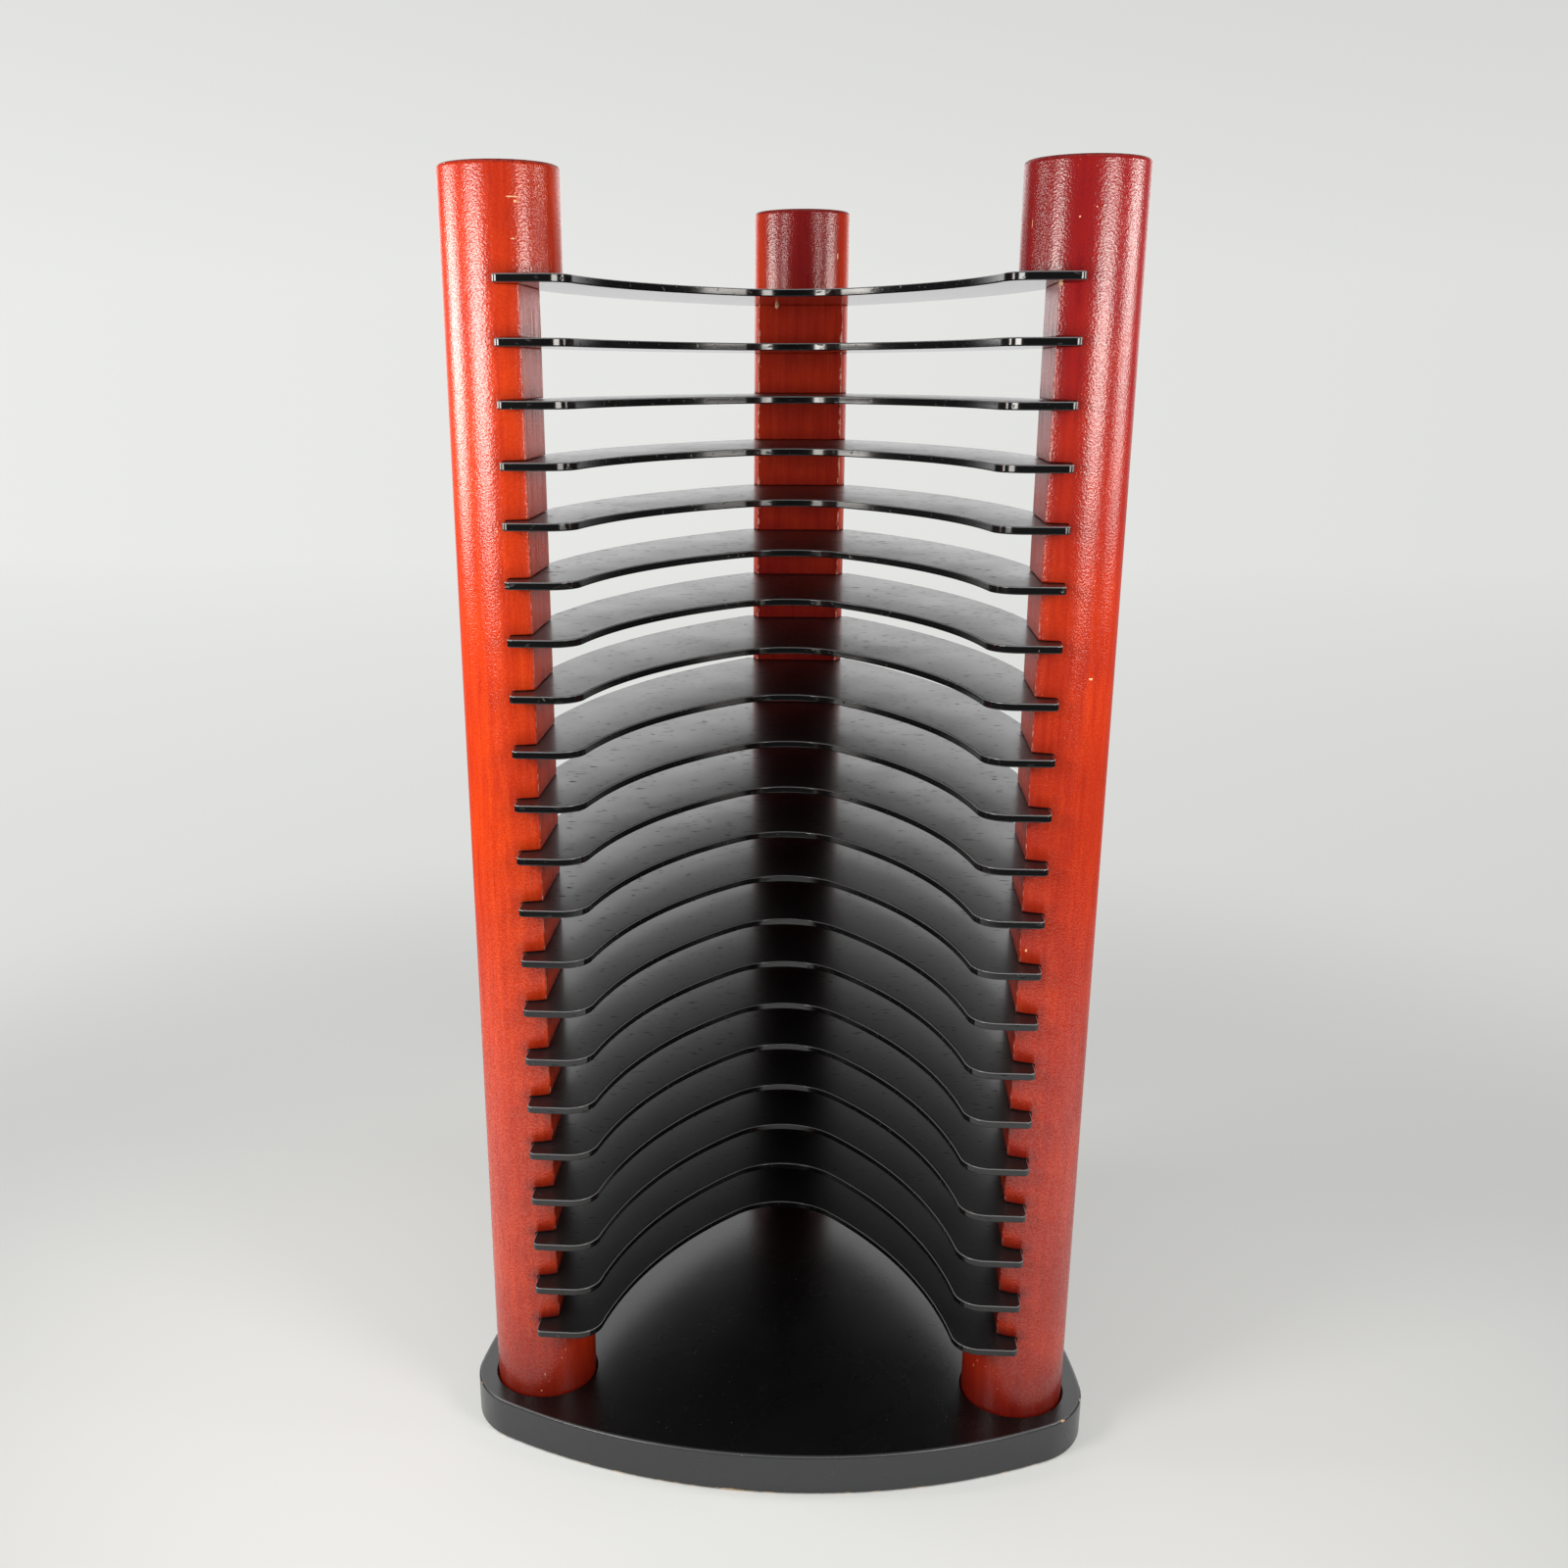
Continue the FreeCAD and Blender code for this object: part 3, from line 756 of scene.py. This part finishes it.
def base_mesh():
    """Base plate: its outline carried round a profile with rounded edges, and for each post a cell of the
    plate, whose rows run from the outline and the tower's middle to the socket, down it, through the screw
    hole and out below."""
    round_rows = 6
    spoke_points = 13
    # The first point of a spoke lies this share of the way out, close to the rim
    spoke_start = 0.997
    weld_reach = 0.005 * MM
    # Directions from the tower's middle to the three posts
    turns = [-math.pi / 6, math.pi / 2, 7 * math.pi / 6]
    lift = np.linspace(0, math.pi / 2, round_rows)
    lower = base_edge_round * np.stack([1 - np.sin(lift), 1 - np.cos(lift)], axis=-1)
    upper = lower[::-1] * np.array([1, -1]) + np.array([0, base_top])
    upright = np.array([[0.0, base_edge_round + support_gap],
                        [0.0, base_top - base_edge_round - support_gap]])
    profile = np.concatenate([lower, upright, upper])
    rim = np.stack([np.concatenate([turned_about_middle(base_cell(inset)[:-1], turn) for turn in turns])
                    for inset, height in profile])
    height = np.broadcast_to(profile[:, 1][:, None, None], rim.shape[:2] + (1,))
    points = [np.concatenate([rim, height], axis=-1).reshape(-1, 3)]
    faces = [grid_faces(rim.shape[0], rim.shape[1], True)]
    edge_wear = np.where(profile[:, 1] < base_top / 2, floor_edge_wear, upper_edge_wear)
    wear = [np.repeat(edge_wear * (profile[:, 0] > 0), rim.shape[1])]
    # Rim share: the paint there is lighter, as a painted reflection
    side = [np.ones(rim.shape[0] * rim.shape[1])]
    corner = np.array([tower_reach, 0.0])
    cell_edge = base_cell(base_edge_round)
    spokes = np.concatenate([[spoke_start], np.linspace(1, 0, spoke_points)[1:]])[:, None] * cell_edge[-1]
    boundary = np.concatenate([cell_edge, spokes, spokes[-2::-1] * np.array([1, -1])])
    away = boundary - corner
    reach = np.hypot(away[:, 0], away[:, 1])
    aim = away / reach[:, None]
    socket_radius = post_radius + socket_play
    seat_top = screw_seat_depth + screw_seat_radius - screw_hole_radius
    mouth = socket_radius + socket_mouth_ease
    skirt = support_gap / 2
    turned = [
        (mouth, base_top), (socket_radius, base_top - socket_mouth_ease), (socket_radius, post_foot),
        (screw_hole_radius, post_foot), (screw_hole_radius, seat_top), (screw_seat_radius, screw_seat_depth),
        (screw_seat_radius, 0.0),
    ]
    # Shares of the way from the boundary to the socket at which rows lie
    shares = np.array([0.0, 0.02, 0.3, 0.65, 0.97])
    rows = [(reach + (mouth - reach) * share, base_top, share == 0) for share in shares[:-1]]
    rows += [(np.full_like(reach, mouth + support_gap), base_top, False)]
    rows += [(np.full_like(reach, radius), level, False) for radius, level in turned]
    under = screw_seat_radius + skirt
    rows += [(under + (reach - under) * (1 - share), 0.0, share == 0) for share in shares[::-1]]
    distance = np.stack([row[0] for row in rows])
    plan = corner + distance[..., None] * aim
    level = np.broadcast_to(np.array([row[1] for row in rows])[:, None, None], plan.shape[:2] + (1,))
    for turn in turns:
        cell = np.concatenate([turned_about_middle(plan, turn), level], axis=-1).reshape(-1, 3)
        faces.append(grid_faces(plan.shape[0], plan.shape[1], True) + sum(len(part) for part in points))
        points.append(cell)
        wear.append(np.zeros(len(cell)))
        side.append(np.zeros(len(cell)))
    points = np.concatenate(points)
    # Points that share a place become one
    keys = np.round(points / weld_reach).astype(np.int64)
    first, where = np.unique(keys, axis=0, return_index=True, return_inverse=True)[1:]
    welded_faces = where.reshape(-1)[np.concatenate(faces)].tolist()
    tones = {"wear": np.concatenate(wear)[first], "rim": np.concatenate(side)[first]}
    return points[first], welded_faces, tones


def make_glue_bead(name, centre, half_sizes, material):
    """Bead of dried glue: a ball stretched to its half sizes in millimetres, its radius uneven by two slow
    waves; the poles are capped."""
    rings = 22
    ring_points = 28
    first_wave = 0.12
    second_wave = 0.1
    rise = np.linspace(-math.pi / 2, math.pi / 2, rings)[1:-1][:, None]
    round_about = np.linspace(0, 2 * math.pi, ring_points, endpoint=False)[None, :]
    swell = 1 + first_wave * np.sin(3 * round_about + 2 * rise)
    swell = swell + second_wave * np.cos(2 * round_about - 3 * rise)
    ball = np.stack([np.cos(rise) * np.cos(round_about), np.cos(rise) * np.sin(round_about),
                     np.sin(rise) + 0 * round_about], axis=-1)
    points = (ball * swell[..., None] * np.array(half_sizes) * MM + np.array(centre)).reshape(-1, 3)
    rows, columns = swell.shape
    caps = [np.arange(columns)[::-1].tolist(), (np.arange(columns) + (rows - 1) * columns).tolist()]
    return add_piece(name, points, grid_faces(rows, columns, True).tolist() + caps, material, None)


# Posts
post_wood = lacquered_beech()
for post_name, post_turn in post_turns.items():
    make_post(post_name, post_turn, post_wood)

# Shelves
shelf_lacquer = lacquered_shelf_board()
shelf_points, shelf_faces, shelf_tones = shelf_mesh()
for shelf_name, shelf_level in zip(shelf_names, shelf_levels):
    raised = shelf_points + np.array([0, 0, shelf_level])
    board_name = shelf_name + "_board"
    add_piece(board_name, raised, shelf_faces, shelf_lacquer, "shelf_board", [shelf_name], **shelf_tones)

# Base plate
tower_middle = sum(post_axes.values()) / len(post_axes)
tower_reach = float(np.hypot(*(post_axes["rear_post"] - tower_middle)))
base_points, base_faces, base_tones = base_mesh()
base_paint = painted_base_board()
add_piece("base_plate_board", base_points, base_faces, base_paint, "base_board", ["base_plate"],
          **base_tones)

# Screws keep their own mesh
screw_zinc = zinc_plated_steel()
for screw_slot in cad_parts["base_screws"].material_slots:
    screw_slot.material = screw_zinc

# Glue that ran out under the top shelf
glue = dried_glue()
glue_drop = 0.3 * MM
glue_sink = 0.4 * MM
flat_edge_share = 0.89
rear_bead_x = -7.6 * MM
glue_level = shelf_levels[-1] - glue_drop
rear_flat_y = post_axes["rear_post"][1] - flat_setback
right_flat_x = post_axes["right_post"][0] - flat_setback
flat_front_y = post_axes["right_post"][1] - post_radius * flat_edge_share
right_bead = (right_flat_x + glue_sink, flat_front_y, glue_level)
rear_bead = (rear_bead_x, rear_flat_y, glue_level)
make_glue_bead("glue_bead_right", right_bead, (0.55, 0.5, 0.6), glue)
make_glue_bead("glue_bead_rear", rear_bead, (0.5, 0.35, 0.8), glue)

# Camera: place, bearing and tilt found from the photograph's perspective, for a 1600 pixel square picture
picture_size = 1600
focal_pixels = 1583.0
optical_centre = (746.8, 879.8)
sensor_width = 36.0
camera_place = (14.3 * MM, -461.1 * MM, 307.0 * MM)
camera_tilt = 0.3061
camera_turn = 0.06907
camera_data = bpy.data.cameras.new("camera")
camera_data.sensor_width = sensor_width
camera_data.lens = sensor_width * focal_pixels / picture_size
camera_data.shift_x = 0.5 - optical_centre[0] / picture_size
camera_data.shift_y = optical_centre[1] / picture_size - 0.5
camera = bpy.data.objects.new("camera", camera_data)
camera.location = camera_place
camera.rotation_euler = (math.pi / 2 - camera_tilt, 0.0, camera_turn)
bpy.context.scene.collection.objects.link(camera)
bpy.context.scene.camera = camera


def add_lamp(name, turn, height, width, tall, power):
    """Panel lamp that faces the tower's axis, from a bearing measured from the front towards the right."""
    lamp_distance = 0.365
    warm_white = (1.0, 0.96, 0.91)
    light = bpy.data.lights.new(name, "AREA")
    light.shape = "RECTANGLE"
    light.size = width
    light.size_y = tall
    light.energy = power
    light.color = warm_white
    lamp = bpy.data.objects.new(name, light)
    lamp.location = (lamp_distance * math.sin(turn), -lamp_distance * math.cos(turn), height)
    lamp.rotation_euler = (math.pi / 2, 0.0, turn)
    lamp.visible_camera = False
    bpy.context.scene.collection.objects.link(lamp)


# Each lamp as panels of one bearing and width: bearing in degrees, width, then each panel's height, tallness
# and power
lamps = {
    "right_front": (41.7, 0.134, ((0.32, 0.06, 0.44), (0.264, 0.05, 0.19), (0.37, 0.04, 0.16))),
    "right_side": (84.0, 0.15, ((0.32, 0.06, 0.24), (0.264, 0.05, 0.13), (0.37, 0.04, 0.28))),
    "left_front": (-41.7, 0.134, ((0.32, 0.06, 0.58), (0.264, 0.05, 0.26), (0.37, 0.04, 0.15))),
    "left_side": (-84.0, 0.15, ((0.32, 0.06, 0.5), (0.264, 0.05, 0.24), (0.37, 0.04, 0.2))),
}
for lamp_name, (lamp_turn, lamp_width, panels) in lamps.items():
    for number, (lamp_height, lamp_tall, lamp_power) in enumerate(panels, start=1):
        panel_name = "lamp_%s_%d" % (lamp_name, number)
        add_lamp(panel_name, math.radians(lamp_turn), lamp_height, lamp_width, lamp_tall, lamp_power)

# Directions for the world and the floor
to_right = (1.0, 0.0, 0.0)
to_rear = (0.0, 1.0, 0.0)
to_front = (0.0, -1.0, 0.0)
to_top = (0.0, 0.0, 1.0)


def side_share(tree, aim):
    """Share of the tent's light along a direction: a little more on the left than on the right."""
    rightward = add(tree, "VectorMath", {0: aim, 1: to_right}, operation="DOT_PRODUCT").outputs["Value"]
    limits = {"Value": rightward, "From Min": -1.0, "From Max": 1.0, "To Min": 1.12, "To Max": 0.86}
    return add(tree, "MapRange", limits).outputs[0]


# World: a pale tent that lights evenly; reflections show it bright behind and overhead, and dark elsewhere
world = bpy.data.worlds.new("pale_tent")
world.use_nodes = True
bpy.context.scene.world = world
tree = world.node_tree
backdrop_colour = linear("#E6E7E4")
backdrop = tree.nodes["Background"]
rays = add(tree, "LightPath").outputs
aim = add(tree, "TexCoord").outputs["Generated"]
rearward = add(tree, "VectorMath", {0: aim, 1: to_rear}, operation="DOT_PRODUCT").outputs["Value"]
lit_back = {"Value": rearward, "From Min": -0.1, "From Max": 0.4}
lit_back = add(tree, "MapRange", lit_back, interpolation_type="SMOOTHSTEP").outputs[0]
rightward = add(tree, "VectorMath", {0: aim, 1: to_right}, operation="DOT_PRODUCT").outputs["Value"]
aside = add(tree, "Math", {0: rightward}, operation="ABSOLUTE").outputs[0]
central = {"Value": aside, "From Min": 0.75, "From Max": 0.45}
central = add(tree, "MapRange", central, interpolation_type="SMOOTHSTEP").outputs[0]
lit = add(tree, "Math", {0: lit_back, 1: central}, operation="MULTIPLY").outputs[0]
upward = add(tree, "VectorMath", {0: aim, 1: to_top}, operation="DOT_PRODUCT").outputs["Value"]
rear_light = {"Value": upward, "From Min": -0.02, "From Max": 0.06, "To Min": 0.82, "To Max": 1.85}
rear_light = add(tree, "MapRange", rear_light).outputs[0]
mirrored = {0: lit, 6: linear("#383838"), 7: rear_light}
mirrored = add(tree, "Mix", mirrored, data_type="RGBA").outputs[2]
overhead = {"Value": upward, "From Min": 0.6, "From Max": 0.85}
overhead = add(tree, "MapRange", overhead, interpolation_type="SMOOTHSTEP").outputs[0]
top_light = (1.8, 1.8, 1.8, 1.0)
mirrored = add(tree, "Mix", {0: overhead, 6: mirrored, 7: top_light}, data_type="RGBA").outputs[2]
seen = {0: rays["Is Glossy Ray"], 1: rays["Is Transmission Ray"]}
seen = add(tree, "Math", seen, operation="MAXIMUM").outputs[0]
ambient = linear("#A8A8A8")
tent = add(tree, "Mix", {0: seen, 6: ambient, 7: mirrored}, data_type="RGBA").outputs[2]
tent = add(tree, "Mix", {0: rays["Is Camera Ray"], 6: tent, 7: backdrop_colour}, data_type="RGBA").outputs[2]
lift = {"Value": upward, "From Min": 0.05, "From Max": 0.25, "To Min": 1.0, "To Max": 0.88}
lift = add(tree, "MapRange", lift).outputs[0]
level = add(tree, "Math", {0: side_share(tree, aim), 1: lift}, operation="MULTIPLY").outputs[0]
fill(tree, backdrop, {"Color": tent, "Strength": level})

# Floor: a pale round sheet that fades into the backdrop and keeps the tower's shadow
floor_level = -0.1 * MM
floor_columns = 64
floor_rings = np.array([0.0005, 0.2, 0.4, 0.8, 1.6, 4.0])[:, None]
floor_turn = np.linspace(0, 2 * math.pi, floor_columns, endpoint=False)[None, ::-1]
floor_height = np.full((len(floor_rings), floor_columns), floor_level)
floor_x = floor_rings * np.cos(floor_turn)
floor_y = floor_rings * np.sin(floor_turn)
floor_points = np.stack([floor_x, floor_y, floor_height], axis=-1)
floor_faces = grid_faces(len(floor_rings), floor_columns, True)
floor_mesh = bpy.data.meshes.new("floor")
floor_mesh.from_pydata(floor_points.reshape(-1, 3).tolist(), [], floor_faces.tolist())
floor_material, tree, shader, place = start_material("paper_sheet_matt_pale")
fill(tree, shader, {"Base Color": linear("#E9ECEC"), "Roughness": 0.9, "Specular IOR Level": 0.1})
far = add(tree, "VectorMath", {0: place}, operation="LENGTH").outputs["Value"]
rays = add(tree, "LightPath").outputs
reached = {"Value": far, "From Min": 0.12, "From Max": 0.6, "To Min": 0.25}
faded = add(tree, "MapRange", reached, interpolation_type="SMOOTHSTEP").outputs[0]
faded = add(tree, "Math", {0: faded, 1: rays["Is Camera Ray"]}, operation="MULTIPLY").outputs[0]
from_front = add(tree, "VectorMath", {0: place, 1: camera.location}, operation="SUBTRACT").outputs[0]
from_front = add(tree, "VectorMath", {0: from_front}, operation="NORMALIZE").outputs[0]
# Painted shade: the sheet's glow is darker just behind the tower and towards the right
behind = add(tree, "VectorMath", {0: place, 1: to_rear}, operation="DOT_PRODUCT").outputs["Value"]
dip = {"Value": behind, "From Min": 0.1, "From Max": 2.2, "To Min": 0.87, "To Max": 1.0}
dip = add(tree, "MapRange", dip).outputs[0]
level = add(tree, "Math", {0: side_share(tree, from_front), 1: dip}, operation="MULTIPLY").outputs[0]
glow = add(tree, "Emission", {"Color": backdrop_colour, "Strength": level}).outputs[0]
sheet = add(tree, "MixShader", {0: faded, 1: shader.outputs[0], 2: glow}).outputs[0]
# Reflections show the sheet bright a little way in front of the tower, and further out dark except behind it
outward = add(tree, "VectorMath", {0: place}, operation="NORMALIZE").outputs[0]
frontward = add(tree, "VectorMath", {0: outward, 1: to_front}, operation="DOT_PRODUCT").outputs["Value"]
in_front = add(tree, "MapRange", {"Value": frontward, "From Min": -0.3, "From Max": 0.3}).outputs[0]
past_end = {"Value": far, "From Min": 0.4, "From Max": 0.6}
past_end = add(tree, "MapRange", past_end, interpolation_type="SMOOTHSTEP").outputs[0]
seen = {0: rays["Is Glossy Ray"], 1: rays["Is Transmission Ray"]}
seen = add(tree, "Math", seen, operation="MAXIMUM").outputs[0]
off_middle = add(tree, "MapRange", {"Value": frontward, "From Min": -0.9, "From Max": -0.6}).outputs[0]
hidden = add(tree, "Math", {0: off_middle, 1: past_end}, operation="MULTIPLY").outputs[0]
hidden = add(tree, "Math", {0: hidden, 1: seen}, operation="MULTIPLY").outputs[0]
bright = add(tree, "Math", {0: seen, 1: in_front}, operation="MULTIPLY").outputs[0]
nearness = {"Value": far, "From Min": 0.11, "From Max": 0.32, "To Max": 0.85}
nearness = add(tree, "MapRange", nearness).outputs[0]
bright = add(tree, "Math", {0: bright, 1: nearness}, operation="MULTIPLY").outputs[0]
bright = add(tree, "Emission", {"Strength": bright}).outputs[0]
sheet = add(tree, "AddShader", {0: sheet, 1: bright}).outputs[0]
gloom = add(tree, "Emission", {"Color": linear("#444444"), "Strength": 1.0}).outputs[0]
sheet = add(tree, "MixShader", {0: hidden, 1: sheet, 2: gloom}).outputs[0]
tree.links.new(sheet, tree.nodes["Material Output"].inputs["Surface"])
floor_mesh.materials.append(floor_material)
floor = bpy.data.objects.new("floor", floor_mesh)
bpy.context.scene.collection.objects.link(floor)
floor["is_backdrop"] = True

bpy.context.scene.view_settings.view_transform = "Standard"

low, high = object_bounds()
